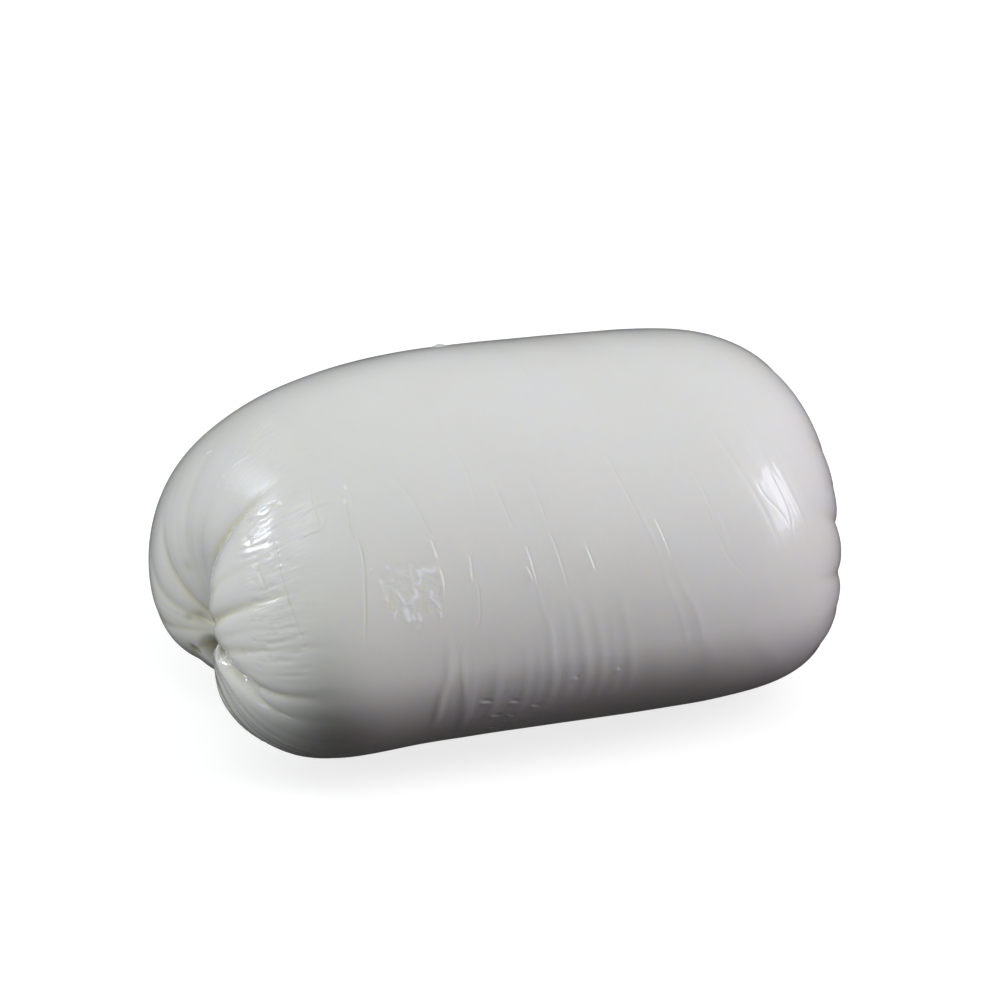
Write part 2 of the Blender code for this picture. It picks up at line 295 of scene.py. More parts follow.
class Course:
    """A smooth line over the skin through some places."""

    def __init__(self, places):
        knots = np.array(places, float)
        knots = np.concatenate([[2 * knots[0] - knots[1]], knots, [2 * knots[-1] - knots[-2]]])
        t = np.arange(BENDS_PER_PLACE)[:, None] / BENDS_PER_PLACE
        stretches = [
            b + (c - a) / 2 * t + (a - 2.5 * b + 2 * c - d / 2) * t**2 + (1.5 * (b - c) + (d - a) / 2) * t**3
            for a, b, c, d in zip(knots, knots[1:], knots[2:], knots[3:])
        ]
        x, angle = np.concatenate([*stretches, knots[-2:-1]]).T
        self.line = loaf(np.arccos(-x * MM / HALF_LENGTH), np.radians(angle))

    def beside(self, points, normals):
        """How far aside of the line points lie, and which share of its length they are at.

        For a line that runs down the front, the side towards the right end counts as positive.
        """
        aside, share = np.full(len(points), FAR), np.zeros(len(points))
        low, high = self.line.min(axis=0) - NEARBY, self.line.max(axis=0) + NEARBY
        close = np.flatnonzero(np.all((points > low) & (points < high), axis=1))
        near, normal = points[close], normals[close]
        nearest, side, along = np.full(len(close), FAR), np.ones(len(close)), np.zeros(len(close))
        for index, (start, end) in enumerate(zip(self.line, self.line[1:])):
            step = end - start
            part = np.clip((near - start) @ step / (step @ step), 0, 1)
            offset = near - start - part[:, None] * step
            distance = np.linalg.norm(offset, axis=1)
            closer = distance < nearest
            nearest = np.where(closer, distance, nearest)
            facing = np.sum(offset * np.cross(normal, step), axis=1)
            side = np.where(closer, np.where(facing < 0, -1, 1), side)
            along = np.where(closer, (index + part) / (len(self.line) - 1), along)
        aside[close], share[close] = nearest * side, along
        return aside, share


# A crease is a narrow groove with a step up on its left that falls off slowly: depth of the groove and
# height of the step in millimetres, and the places it runs through
CREASES = (
    (0.07, 0.05, ((-42, 57), (-40.4, 51), (-40.9, 43), (-40.6, 37))),
    (0.08, 0.05, ((-40.3, 41), (-40.1, 34), (-41.1, 22), (-42.1, 9))),
    (0.04, 0.015, ((-33.9, 60), (-31.4, 50), (-30, 44), (-28.7, 36), (-27.5, 33))),
    (0.02, 0.10, ((-28.6, 34), (-28.2, 31), (-27.9, 27.5))),
    (0.03, 0.125, ((-28, 27), (-27.6, 24), (-27.5, 21.5), (-27.9, 17.5))),
    (0.02, 0.02, ((-21.3, 70), (-21.5, 60), (-20.2, 53), (-19.7, 44), (-20, 36))),
    (0.04, 0.08, ((-22.4, 28), (-22.5, 24), (-22.5, 20.5))),
    (0.04, 0.03, ((-21.9, 22), (-21.7, 17), (-22, 11.5), (-23.4, 8.5))),
    (0.015, 0.01, ((-22.6, 10), (-24.6, 7.5), (-25.9, 4), (-25.7, -3), (-25.2, -14))),
    (0.04, 0.01, ((-15.9, 46), (-15, 38), (-14, 31))),
    (0.03, 0.09, ((-12.5, 28), (-12.0, 24), (-11.3, 17))),
    (0.03, 0.09, ((-12.9, 23), (-12.4, 21), (-11.9, 18.5))),
    (0.03, 0.01, ((-9.6, 46), (-8.8, 39), (-8.2, 32))),
    (0.03, 0.05, ((-8.2, 31), (-7.3, 26), (-6.7, 21.5), (-5.8, 15))),
    (0.04, 0.08, ((-2.1, 27), (-1.3, 22.5), (-0.7, 19))),
    (0.04, 0.01, ((4.7, 51), (6.3, 42), (7.8, 34), (9, 29))),
    (0.03, 0.05, ((11.1, 31), (12.2, 26), (13.4, 19.5))),
    (0.02, 0.01, ((19.6, 43), (21.2, 35.5), (22.3, 28), (23.1, 21.5), (25.4, 16), (30.2, 9))),
    (0.02, 0.02, ((-0.9, 86), (-1.6, 76), (-2.7, 67))),
    # across the pleats of the left end
    (0.09, 0.03, ((-51, 57), (-51.4, 50), (-51.8, 42), (-51.9, 32), (-51.5, 22), (-50.8, 15))),
    (0.07, 0.06, ((-54.1, 50), (-54, 44), (-54, 38))),
    (0.05, 0.05, ((-44.2, 66), (-44.5, 58), (-44.8, 50), (-44.9, 45))),
    (0.05, 0.05, ((-42.7, 51.4), (-44.8, 47), (-46.8, 47.6), (-48.6, 48))),
    (0.04, 0.03, ((-39.2, 57), (-39.3, 50), (-40.4, 43))),
    (0.04, 0.03, ((-41.5, 52), (-44.8, 54), (-48.3, 54))),
    (0.05, 0.05, ((-52.2, 68.4), (-50.6, 66.8), (-49.2, 63.5), (-47.5, 59.9))),
    # through the brightest part of the right shoulder
    (0.03, 0.02, ((31.6, 37), (33.1, 32), (36.3, 26.5), (37.6, 22))),
    (0.05, 0.02, ((35.2, 39), (36.6, 33.4), (37.9, 27), (38.2, 20))),
    (0.02, 0.01, ((34.8, 46), (35.4, 42.9), (36.5, 38.3), (38.3, 33.4))),
    # on the far side
    (0.05, 0.06, ((-36, 118), (-34.2, 130), (-33.4, 141), (-33.9, 152), (-35, 163))),
    (0.06, 0.08, ((-25.5, 124), (-23.2, 134), (-22.4, 147), (-22.7, 160), (-21.6, 172))),
    (0.04, 0.05, ((-15.5, 139), (-14.2, 150), (-14.6, 163))),
    (0.06, 0.08, ((-9.2, 121), (-7.1, 133), (-5.3, 146), (-5.4, 158), (-3.8, 175), (-3.5, 188))),
    (0.05, 0.06, ((2.5, 138), (3.6, 149), (3.4, 162), (5.1, 171))),
    (0.05, 0.08, ((10.4, 128), (12.9, 141), (14.2, 154), (14, 166), (16.9, 182), (17.5, 194))),
    (0.04, 0.06, ((22.8, 133), (23.9, 147), (25.9, 160), (26.2, 173))),
)
GROOVE = 0.2 * MM
STEP = 0.26 * MM
STEP_FADE = 1.1 * MM
CREASE_ENDS = 0.25
CREASE_SHADE = 1.5

# Soft wrinkles stand upright where the loaf turns under: height and half width in millimetres, places
WRINKLES = (
    (0.16, 0.8, ((-27.6, 12), (-27.6, -2), (-28.6, -12), (-28.3, -32))),
    (0.10, 0.8, ((-25.5, 9), (-24.9, -4), (-24.2, -13), (-22.3, -40))),
    (0.06, 0.8, ((-23.1, 5), (-23.1, -10), (-22.2, -36))),
    (0.07, 1.0, ((-18.6, 6), (-18.7, -10), (-18.2, -32))),
    (0.05, 0.9, ((-13.9, 8), (-13.4, -8), (-13, -30))),
    (0.03, 0.8, ((-11.9, 10), (-11.1, -7), (-10.4, -32))),
    (0.07, 0.8, ((-9.9, 16), (-9.5, 2), (-8.5, -10), (-8.2, -32))),
    (0.04, 0.8, ((-7.1, 16), (-6.4, 3), (-5.6, -10), (-5.2, -30))),
    (0.08, 0.9, ((-6.0, 17), (-4.4, 9), (-3.2, 0), (-2.4, -12), (-2, -30))),
    (0.06, 0.9, ((-2.7, 20), (-1.2, 7), (0.2, -4), (0.8, -36))),
    (0.03, 0.9, ((1.2, 12), (2.8, -6), (4.0, -34))),
    (0.07, 0.9, ((2.4, 18), (4.3, 6), (5.6, -6), (6.8, -32))),
    (0.03, 1.2, ((8.9, 10), (11.4, -9), (13.1, -32))),
    (0.05, 1.3, ((15.4, 14), (17.4, 5), (20.4, -8), (24, -34))),
    (0.07, 1.6, ((28, 4), (31, -8), (36, -20), (40, -39))),
    # narrow ones below and beside the creases of the front
    (0.03, 0.4, ((-11.6, 20), (-10.8, 12), (-9.2, 5), (-8.6, -5))),
    (0.04, 0.4, ((8.0, 34), (9.6, 28), (11.3, 20))),
    (0.03, 0.5, ((10.6, 23), (12.4, 13), (14.8, 4), (17.6, -14))),
    (0.03, 0.5, ((12.8, 22), (15.2, 12), (17.5, 6), (20, -8))),
    (0.04, 0.4, ((21.4, 33), (22.4, 27.5), (23.4, 20.5))),
    (0.03, 0.4, ((22.5, 31.5), (23.6, 25), (24.5, 19.5))),
    # on the far side
    (0.12, 1.0, ((-20, 186), (-19.5, 195), (-19.2, 208))),
    (0.10, 1.1, ((-12, 184), (-12.4, 196), (-12, 210))),
    (0.14, 1.0, ((1, 182), (0.4, 194), (1.4, 209))),
    (0.10, 1.2, ((9, 186), (9.8, 198), (10.3, 210))),
    (0.11, 1.3, ((21, 184), (22.6, 196), (24, 208))),
)
RIDGE_ENDS = 0.3

# Shallow furrows run beside the creases of the right shoulder: how many, height, half width, and then
# their course, how far apart they are, and how much chance moves them aside and up
FURROWS = (10, (0.013, 0.032), (0.35, 0.7))
FURROW_COURSE = ((24, 56), (25.6, 44), (28.6, 32), (32, 20), (35.5, 6))
FURROW_SPACING = 1.5
FURROW_ASIDE, FURROW_CLIMB = 0.4, 8


def furrows():
    """Rows like those of the wrinkles, every second one hollow."""
    count, heights, half_widths = FURROWS
    rows = []
    for index in range(count):
        step = FURROW_SPACING * (index + chance.uniform(-FURROW_ASIDE, FURROW_ASIDE))
        climb = chance.uniform(-FURROW_CLIMB, FURROW_CLIMB)
        places = [(x + step, angle + climb) for x, angle in FURROW_COURSE]
        rows.append(((-1) ** index * chance.uniform(*heights), chance.uniform(*half_widths), places))
    return rows


# Small level dents low on the front: places of their middles, half length and depth in millimetres. The
# skin above each one is pushed up to a lip with a painted glint
DENTS = (
    (-20, -16.7, 1.5, 0.11),
    (-14.7, -19, 1.3, 0.10),
    (-17.1, -26.2, 1.2, 0.09),
    (-15.9, -37, 1.1, 0.10),
    (-10.4, -23.2, 1.1, 0.07),
    (-14.2, -27.4, 0.9, 0.06),
    (-4.2, -11, 0.6, 0.08),
    (3.6, -9.5, 0.6, 0.06),
)
DENT_HALF_WIDTH = 0.4
DENT_TILT = -0.6
DENT_ENDS = 0.45
DENT_DEPTH, LIP_HEIGHT, LIP_OFF, LIP_GLINT = 0.7, 0.9, 1.3, 1.3

# Pits in the lobes beside the left cleft: bearing and reach from the pinch, radius and depth in
# millimetres, and how much painted shade darkens them inside
PITS = (
    (121, 14.1, 1.0, 0.15, 0.12),
    (159, 6.5, 1.2, 0.3, 0.25),
    (-153, 10.4, 0.8, 0.4, 0.6),
    (170, 8.6, 0.9, 0.2, 0.15),
    (42, 16.5, 1.1, 0.15, 0.03),
)

# The lower fold overlaps the lobe above it, so its own edge stands up beside its valley, and the painted
# crease shade is weaker there
FOLD_EDGE = {"bearings": (27, 5), "height": 0.6 * MM, "width": 1.1 * MM, "length": 44 * MM}
FOLD_LESS_SHADE, FOLD_LESS_SHADE_WIDTH = 0.85, 2.2 * MM
TO_ONE = 2.7  # times this, x * exp(-x) peaks at about 1

# The fold's upper end stands up in a small tip: how far ahead of the pinch and above it, radius, and
# how far it is drawn up and out
FOLD_TIP = {"ahead": 16.6 * MM, "above": 6.8 * MM, "radius": 1.1 * MM, "up": 1.9 * MM, "out": 0.2 * MM}
TIP_EDGES = 6  # edges of the net to a radius

# The left pinch ends in a hollow beside the tip of the lower fold, painted dark inside as shade: depth,
# radius, and how far its middle lies ahead of the pinch and above it
HOLLOW = (2.8 * MM, 2.4 * MM, -3.4 * MM, -4.0 * MM)

# A bump of curd on the crest
NUB_PLACE = (-9.3, 106)
NUB_RADIUS = 0.9 * MM
NUB_HEIGHT = 0.5 * MM

# The skin is torn in one patch, where flakes stand over shallow hollows and strands cross them:
# height and half width of the strands, and the places they join
TORN_PLACE = (-33.2, 20.5)
TORN_RADIUS = 5.9 * MM
TORN_RAGGED, TORN_RAG_LENGTH = 0.35, 2.6 * MM
TORN_EDGE = (0.7, 0.35)
TORN_HOLLOW = 0.05 * MM
FLAKE_HEIGHT = 0.045 * MM
FLAKE_LENGTH, FLAKE_SHARE = 1.3 * MM, 0.15
CRUMB_LENGTH, CRUMB_SHARE = 0.6 * MM, 0.6
STAIN_LENGTH, STAIN = 2 * MM, 0.14
STRANDS = (
    (0.09, 0.22, ((-31.3, 25), (-31.6, 24), (-32.5, 22.5))),
    (0.13, 0.36, ((-33.1, 23.4), (-32.6, 20.8), (-33.4, 19.2), (-34.3, 17.8))),
    (0.08, 0.18, ((-36, 23.6), (-35.2, 20.8), (-34.5, 18.2))),
    (0.15, 0.50, ((-34.6, 18.4), (-34.7, 15.8), (-34.0, 13.2))),
    (0.09, 0.34, ((-28.7, 27), (-29.3, 25.4), (-30.6, 26.2), (-31.4, 27))),
    (0.12, 0.46, ((-31.5, 27), (-31.6, 25.8), (-31.6, 24.4))),
    (0.10, 0.28, ((-30, 21.2), (-30.2, 18.6))),
    (0.06, 0.18, ((-36.1, 18.2), (-36.6, 16.8), (-36.9, 15.4))),
    (0.06, 0.18, ((-30.6, 19.5), (-29.4, 17.7), (-28.4, 15.1))),
    (0.08, 0.22, ((-28.9, 15.4), (-28.7, 13.2))),
    (0.10, 0.28, ((-32.9, 16.4), (-32.5, 15), (-32.3, 13.4))),
    (0.08, 0.24, ((-33.6, 16.2), (-33.3, 13.8))),
    (0.06, 0.20, ((-37.6, 22.4), (-37.4, 20.4))),
    # specks beside the patch, each with a painted glint
    (0.05, 0.20, ((-38.4, 34), (-38.1, 32.6))),
    (0.06, 0.20, ((-36.8, 30.2), (-36.5, 28.8))),
    (0.05, 0.20, ((-38.4, 27), (-38, 25.4))),
    (0.05, 0.18, ((-39.4, 31), (-39.2, 30))),
    (0.07, 0.20, ((-39.6, 56), (-39.6, 54))),
    (0.07, 0.20, ((-40.3, 52.2), (-40.4, 50))),
    # on the ridge of the fold, each with a painted glint
    (0.06, 0.18, ((-56.4, -14.5), (-55.6, -16), (-54.9, -17))),
    (0.06, 0.20, ((-53.8, -17.8), (-52.8, -18.6), (-52, -19.2))),
    # and on the lobe above the cleft
    (0.07, 0.26, ((-51.4, 112), (-51, 110), (-50.8, 108))),
    (0.05, 0.20, ((-48.3, 87), (-50.1, 89.5), (-51.6, 91.5))),
    (0.06, 0.22, ((-54, 93), (-53.4, 91))),
    (0.05, 0.18, ((-53.3, 87.5), (-52.9, 86))),
    (0.05, 0.18, ((-52.6, 93), (-52.2, 91.5))),
)


def dent_course(x, angle, half_length):
    return Course(((x - half_length, angle - DENT_TILT), (x, angle), (x + half_length, angle + DENT_TILT)))


def tapered(share, ends):
    return ease(share / ends) * ease((1 - share) / ends)


HILL = 0.6  # unevenness above this counts as the top of a hill
SLIGHT = 0.02  # a share below this leaves the net as it is


def unevenness(points, length):
    """Smooth chance values from -1 to 1 with hills about this long."""
    return np.array([noise.noise(point) for point in (points / length).tolist()])


LEFT_KINDS = (
    (LIP_WRINKLES, LEFT_BEND),
    (LOBE_PLEATS, LEFT_BEND),
    (STEM_PLEATS, LEFT_BEND),
    (FOLD_LINES, LEFT_BEND),
    (RIPPLES, SWEEP),
    (FIBRES, SWEEP),
)
LEFT_FINE = [row for kind, bend in LEFT_KINDS for row in fine_pleats(kind, bend)]
LEFT_ROWS = (*LEFT_PLEATS, *LEFT_FINE, *fine_pleats(BACK_PLEATS, BACK_BEND))
RIGHT_ROWS = (*RIGHT_PLEATS, *fine_pleats(RIGHT_FINE, STRAIGHT))
CREASE_COURSES = [(*sizes, Course(places)) for *sizes, places in CREASES]
WRINKLE_COURSES = [(*sizes, Course(places)) for *sizes, places in (*WRINKLES, *furrows())]
STRAND_COURSES = [(*sizes, Course(places)) for *sizes, places in STRANDS]
DENT_COURSES = [(depth, dent_course(x, angle, length)) for x, angle, length, depth in DENTS]

# How long the edges of the net may be on plain skin, among the pleats of the front and of the back, at
# small marks, on rippled and on torn skin. Past a band beside a mark they grow with the distance
COARSE = 1.5 * MM
PLEATED = 0.54 * MM
BACK_PLEATED = 0.85 * MM
FINE = 0.14 * MM
RIPPLED = 0.26 * MM
TORN_NET = 0.19 * MM
FINE_BAND = 0.25 * MM
FINE_GROWTH = 0.9
BACK_COARSER = 1.5

# How far the gathered skin reaches from a pinch, and where it is rippled: distances from the left pinch
# and bearings in radians, each with the width over which it comes and goes
GATHER_END, GATHER_FADE = 38 * MM, 12 * MM
FRONT_FROM, FRONT_FADE = -22 * MM, 14 * MM
RIPPLED_FROM, RIPPLED_TO, RIPPLED_FADE = 30 * MM, 46 * MM, 3 * MM
RIPPLED_BEARINGS, BEARING_FADES = (0.2, 1.75), (0.1, 0.15)

# There the skin is strained in patches, from a bearing in degrees upwards, and nearly everywhere above
# the cleft, from a bearing in radians upwards
STRAIN_LENGTH = 6 * MM
STRAIN_FROM, STRAIN_FADE = 22, 10
ABOVE_CLEFT, ABOVE_FADE = 1.1, 0.1
STRAIN_SHARE, ABOVE_SHARE = 0.35, 0.8
STRAIN_LEAST = 0.8

# The gathered skin of the left end is a little yellower, and the valleys of all pleats carry painted crease
# shade, yellower and darker
GATHERED_CREAM = 0.02
VALLEY_DEPTH, VALLEY_WIDTH, VALLEY_EDGE = 1.6 * MM, 0.7 * MM, 1.5

# Low hills and hollows over the whole loaf: length and height
LOW_UNEVENNESS = ((26 * MM, 0.22 * MM), (9 * MM, 0.06 * MM))


class Skin:
    """The real skin at some places: its points and looks, and how fine the net must be there."""

    def __init__(self, along, around):
        self.base = loaf(along, around)
        self.normals = outward(along, around)
        self.relief = np.zeros(len(along))
        self.crease_shade_and_whey = np.zeros(len(along))
        self.torn = np.zeros(len(along))
        self.pale_curd_and_glint = np.zeros(len(along))
        self.hollow_and_shade = np.zeros(len(along))
        self.edge = np.full(len(along), COARSE)
        left, right = Gather(self.base, LEFT_PINCH), Gather(self.base, RIGHT_PINCH)
        self.relief += foot(self.base, around) + cheek(left) + cleft(left)
        for length, height in LOW_UNEVENNESS:
            self.relief += height * unevenness(self.base, length)
        self.net_near(left, right)
        for gather, rows in ((left, LEFT_ROWS), (right, RIGHT_ROWS)):
            for row in rows:
                self.press_pleat(gather, *row)
        self.press_fold(left)
        for row in PITS:
            self.press_pit(left, *row)
        for depth, step, course in CREASE_COURSES:
            self.press_crease(depth * MM, step * MM, course)
        for height, half_width, course in WRINKLE_COURSES:
            self.raise_ridge(height * MM, half_width * MM, course)
        for depth, course in DENT_COURSES:
            self.press_dent(depth * MM, course)
        self.tear()
        # The strands are painted paler and bluer: paler curd, with a painted glint
        for height, half_width, course in STRAND_COURSES:
            self.pale_curd_and_glint += self.raise_ridge(height * MM, half_width * MM, course)
        self.raise_nub()
        self.points = self.base + self.normals * self.relief[:, None]
        self.points += drawn_in(left, LEFT_PINCH) + drawn_in(right, RIGHT_PINCH)
        depth, radius, ahead, above = HOLLOW
        off = np.hypot(left.ahead - ahead, left.above - above) / radius
        hollow_and_shade = np.exp(-(off**3)) * left.half
        self.points[:, 0] += depth * hollow_and_shade
        # The hollow is also painted dark inside, as shade
        self.hollow_and_shade = np.maximum(self.hollow_and_shade, hollow_and_shade)
        off = np.hypot(left.ahead - FOLD_TIP["ahead"], left.above - FOLD_TIP["above"]) / FOLD_TIP["radius"]
        drawn = np.exp(-(off**2)) * left.half
        self.points[:, 2] += FOLD_TIP["up"] * drawn
        self.points[:, 0] -= FOLD_TIP["out"] * drawn
        self.net_beside(np.where(off < 2, 0, FAR), FOLD_TIP["radius"] / TIP_EDGES)
        self.points[:, 2] = np.maximum(self.points[:, 2], 0)

    def net_near(self, left, right):
        gathered = 1 - ease((left.reach - GATHER_END) / GATHER_FADE)
        front = ease((left.ahead - FRONT_FROM) / FRONT_FADE)
        share = gathered * left.half
        self.edge += (BACK_PLEATED + (PLEATED - BACK_PLEATED) * front - COARSE) * share
        rippled = ease((left.reach - RIPPLED_FROM) / RIPPLED_FADE)
        rippled *= ease((RIPPLED_TO - left.reach) / RIPPLED_FADE)
        (first, last), (first_fade, last_fade) = RIPPLED_BEARINGS, BEARING_FADES
        between = ease((left.bearing - first) / first_fade) * ease((last - left.bearing) / last_fade)
        rippled *= between * left.half
        self.edge += (RIPPLED - self.edge) * rippled
        rippled *= ease((left.bearing - np.radians(STRAIN_FROM)) / np.radians(STRAIN_FADE))
        above_cleft = ease((left.bearing - ABOVE_CLEFT) / ABOVE_FADE)
        patchy = unevenness(self.base, STRAIN_LENGTH) + STRAIN_SHARE + ABOVE_SHARE * above_cleft
        strength = STRAIN_LEAST + (1 - STRAIN_LEAST) * above_cleft
        self.strained = rippled * ease(patchy / HILL) * strength
        self.crease_shade_and_whey += GATHERED_CREAM * gathered * left.half
        share = (1 - ease((right.reach - GATHER_END) / GATHER_FADE)) * right.half
        self.edge += (BACK_PLEATED - COARSE) * share

    def net_beside(self, off, finest=FINE):
        finest = finest * np.where(self.base[:, 1] > 0, BACK_COARSER, 1)
        self.edge = np.minimum(self.edge, finest + FINE_GROWTH * np.maximum(np.abs(off) - FINE_BAND, 0))

    def press_pleat(self, gather, *sizes):
        deep, off = pleat(gather, *sizes)
        self.relief -= deep
        # Painted crease shade: the valley of each pleat is coloured yellower and darker
        self.crease_shade_and_whey += np.clip(deep / VALLEY_DEPTH, 0, 1) * np.exp(-((off / VALLEY_WIDTH) ** VALLEY_EDGE))

    def press_fold(self, left):
        start, end = BEND
        near, far = FOLD_EDGE["bearings"]
        aside, facing = left.beside(near + (far - near) * ease((left.reach - start) / (end - start)))
        fade = 1 - ease((left.reach - PLEAT_FADE) / (FOLD_EDGE["length"] - PLEAT_FADE))
        below = np.clip(-aside / FOLD_EDGE["width"], 0, None)
        raised = FOLD_EDGE["height"] * TO_ONE * below * np.exp(-below)
        share = fade * ease(left.spread / PLEAT_BIRTH) * (facing & left.half)
        self.relief += raised * share
        # Less painted crease shade along the standing edge of the fold
        self.crease_shade_and_whey *= 1 - FOLD_LESS_SHADE * np.exp(-((aside / FOLD_LESS_SHADE_WIDTH) ** 2)) * share

    def press_pit(self, gather, bearing, reach, radius, depth, dark):
        aside, facing = gather.beside(bearing)
        off = np.hypot(aside, gather.reach - reach * MM) / (radius * MM)
        share = np.exp(-(off**2)) * (facing & gather.half)
        self.relief -= depth * MM * share
        # Painted shade inside the pit: yellower and darker, and for some pits dark
        self.crease_shade_and_whey += depth * share
        self.hollow_and_shade = np.maximum(self.hollow_and_shade, dark * share)
        self.net_beside(np.where(share > SLIGHT, 0, FAR), radius * MM / 3)

    def press_crease(self, depth, step, course):
        aside, share = course.beside(self.base, self.normals)
        taper = tapered(share, CREASE_ENDS)
        left_of = np.clip(-aside, 0, None)
        raised = step * ease(left_of / STEP) * np.exp(-np.clip(left_of - STEP, 0, None) / STEP_FADE)
        groove = depth * np.exp(-((aside / GROOVE) ** 2))
        self.relief += (raised - groove) * taper
        # Painted crease shade along the groove
        self.crease_shade_and_whey += CREASE_SHADE * groove / MM * taper
        self.net_beside(np.where(taper > 0, aside, FAR))

    def press_dent(self, depth, course):
        aside, share = course.beside(self.base, self.normals)
        taper = tapered(share, DENT_ENDS)
        off = aside / (DENT_HALF_WIDTH * MM)
        lip = taper * np.exp(-((off + LIP_OFF) ** 2))
        self.relief += depth * (LIP_HEIGHT * lip - DENT_DEPTH * taper * np.exp(-(off**2)))
        # Painted glint on the dent's lip
        self.pale_curd_and_glint += LIP_GLINT * depth / MM * lip
        self.net_beside(np.where(taper > 0, aside, FAR))

    def raise_ridge(self, height, half_width, course):
        aside, share = course.beside(self.base, self.normals)
        taper = tapered(share, RIDGE_ENDS)
        share = taper * np.exp(-((aside / half_width) ** 2))
        self.relief += height * share
        beside = np.maximum(np.abs(aside) - 1.5 * half_width, 0)
        self.net_beside(np.where(taper > 0, beside, FAR), max(half_width / 1.8, FINE))
        return share

    def tear(self):
        x, angle = TORN_PLACE
        middle = loaf(np.arccos(-x * MM / HALF_LENGTH), np.radians(angle))
        offset = self.base - middle
        near = np.flatnonzero(np.linalg.norm(offset, axis=1) < 1.6 * TORN_RADIUS)
        place = self.base[near]
        ragged = np.linalg.norm(offset[near], axis=1) / TORN_RADIUS
        ragged += TORN_RAGGED * unevenness(place, TORN_RAG_LENGTH)
        start, width = TORN_EDGE
        torn = 1 - ease((ragged - start) / width)
        flake = ease((unevenness(place, FLAKE_LENGTH) + FLAKE_SHARE) / HILL)
        crumb = unevenness(place, CRUMB_LENGTH)
        self.relief[near] += torn * (FLAKE_HEIGHT * (flake + CRUMB_SHARE * crumb) - TORN_HOLLOW)
        self.crease_shade_and_whey[near] += STAIN * torn * ease(unevenness(place, STAIN_LENGTH) / 0.5)
        self.torn[near] = torn
        self.net_beside(np.where(self.torn > SLIGHT, 0, FAR), TORN_NET)

    def raise_nub(self):
        x, angle = NUB_PLACE
        middle = loaf(np.arccos(-x * MM / HALF_LENGTH), np.radians(angle))
        off = np.linalg.norm(self.base - middle, axis=1)
        self.relief += NUB_HEIGHT * np.exp(-((off / NUB_RADIUS) ** 2))
        self.net_beside(off - 2 * NUB_RADIUS, TORN_NET)


# The net starts as even rings and segments, held as (along, cos around, sin around), and every edge
# that is too long for its place is split
RINGS = 112
SEGMENTS = 144
SPLITS = 4
TOO_LONG = 1.44


def places_of(bm):
    place = np.array([vert.co for vert in bm.verts])
    return place[:, 0], np.arctan2(place[:, 2], place[:, 1])


bm = bmesh.new()
net = []
for along in np.linspace(0, np.pi, RINGS)[1:-1]:
    turns = np.arange(SEGMENTS) * 2 * np.pi / SEGMENTS
    net.append([bm.verts.new((along, math.cos(turn), math.sin(turn))) for turn in turns])
start, end = bm.verts.new((0, 0, 0)), bm.verts.new((np.pi, 0, 0))
for ring, following in zip(net, net[1:]):
    for index in range(SEGMENTS):
        bm.faces.new((ring[index - 1], following[index - 1], following[index], ring[index]))
for index in range(SEGMENTS):
    bm.faces.new((start, net[0][index - 1], net[0][index]))
    bm.faces.new((end, net[-1][index], net[-1][index - 1]))
for _ in range(SPLITS):
    bm.verts.index_update()
    skin = Skin(*places_of(bm))
    edges = list(bm.edges)
    ends = np.array([[vert.index for vert in edge.verts] for edge in edges])
    lengths = np.linalg.norm(skin.points[ends[:, 0]] - skin.points[ends[:, 1]], axis=1)
    wanted = skin.edge[ends].min(axis=1)
    too_long = [edge for edge, split in zip(edges, lengths > TOO_LONG * wanted) if split]
    bmesh.ops.subdivide_edges(bm, edges=too_long, cuts=1, use_grid_fill=True)
    bmesh.ops.triangulate(bm, faces=[face for face in bm.faces if len(face.verts) > 4])
skin = Skin(*places_of(bm))
for vert, point in zip(bm.verts, skin.points.tolist()):
    vert.co = point
mesh = bpy.data.meshes.new("cheese_log")
bm.to_mesh(mesh)
bm.free()
mesh.shade_smooth()
# Masks for the painted crease shade and whey, the torn skin, the paler curd and painted glints, the strained
# skin, and the painted shade in the hollows
LOOKS = ("crease_shade_and_whey", "torn", "pale_curd_and_glint", "strained", "hollow_and_shade")
for name in LOOKS:
    values = np.clip(getattr(skin, name), 0, 1)
    mesh.attributes.new(name, "FLOAT", "POINT").data.foreach_set("value", values)
cheese = bpy.data.objects.new("cheese_log", mesh)
bpy.context.scene.collection.objects.link(cheese)


class Wire:
    """A socket among a material's nodes. Sums, differences and products of wires add Math nodes."""

    def __init__(self, tree, socket=None):
        self.tree, self.socket = tree, socket

    def node(self, kind, settings, values, output=0):
        made = self.tree.nodes.new(kind)
        for name, setting in settings.items():
            setattr(made, name, setting)
        for name, value in values.items():
            if isinstance(value, Wire):
                self.tree.links.new(value.socket, made.inputs[name])
            else:
                made.inputs[name].default_value = value
        return Wire(self.tree, made.outputs[output])

    def maths(self, operation, *values):
        return self.node("ShaderNodeMath", {"operation": operation}, dict(enumerate(values)))

    def clipped(self):
        return self.node("ShaderNodeMath", {"operation": "ADD", "use_clamp": True}, {0: self, 1: 0.0})

    def between(self, first, second):
        """The first colour where this is 0, the second where it is 1."""
        return self.node("ShaderNodeMix", {"data_type": "RGBA"}, {0: self, 6: first, 7: second}, 2)

    def __add__(self, other):
        return self.maths("ADD", self, other)

    def __sub__(self, other):
        return self.maths("SUBTRACT", self, other)

    def __rsub__(self, other):
        return self.maths("SUBTRACT", other, self)

    def __mul__(self, other):
        return self.maths("MULTIPLY", self, other)

    __radd__, __rmul__ = __add__, __mul__


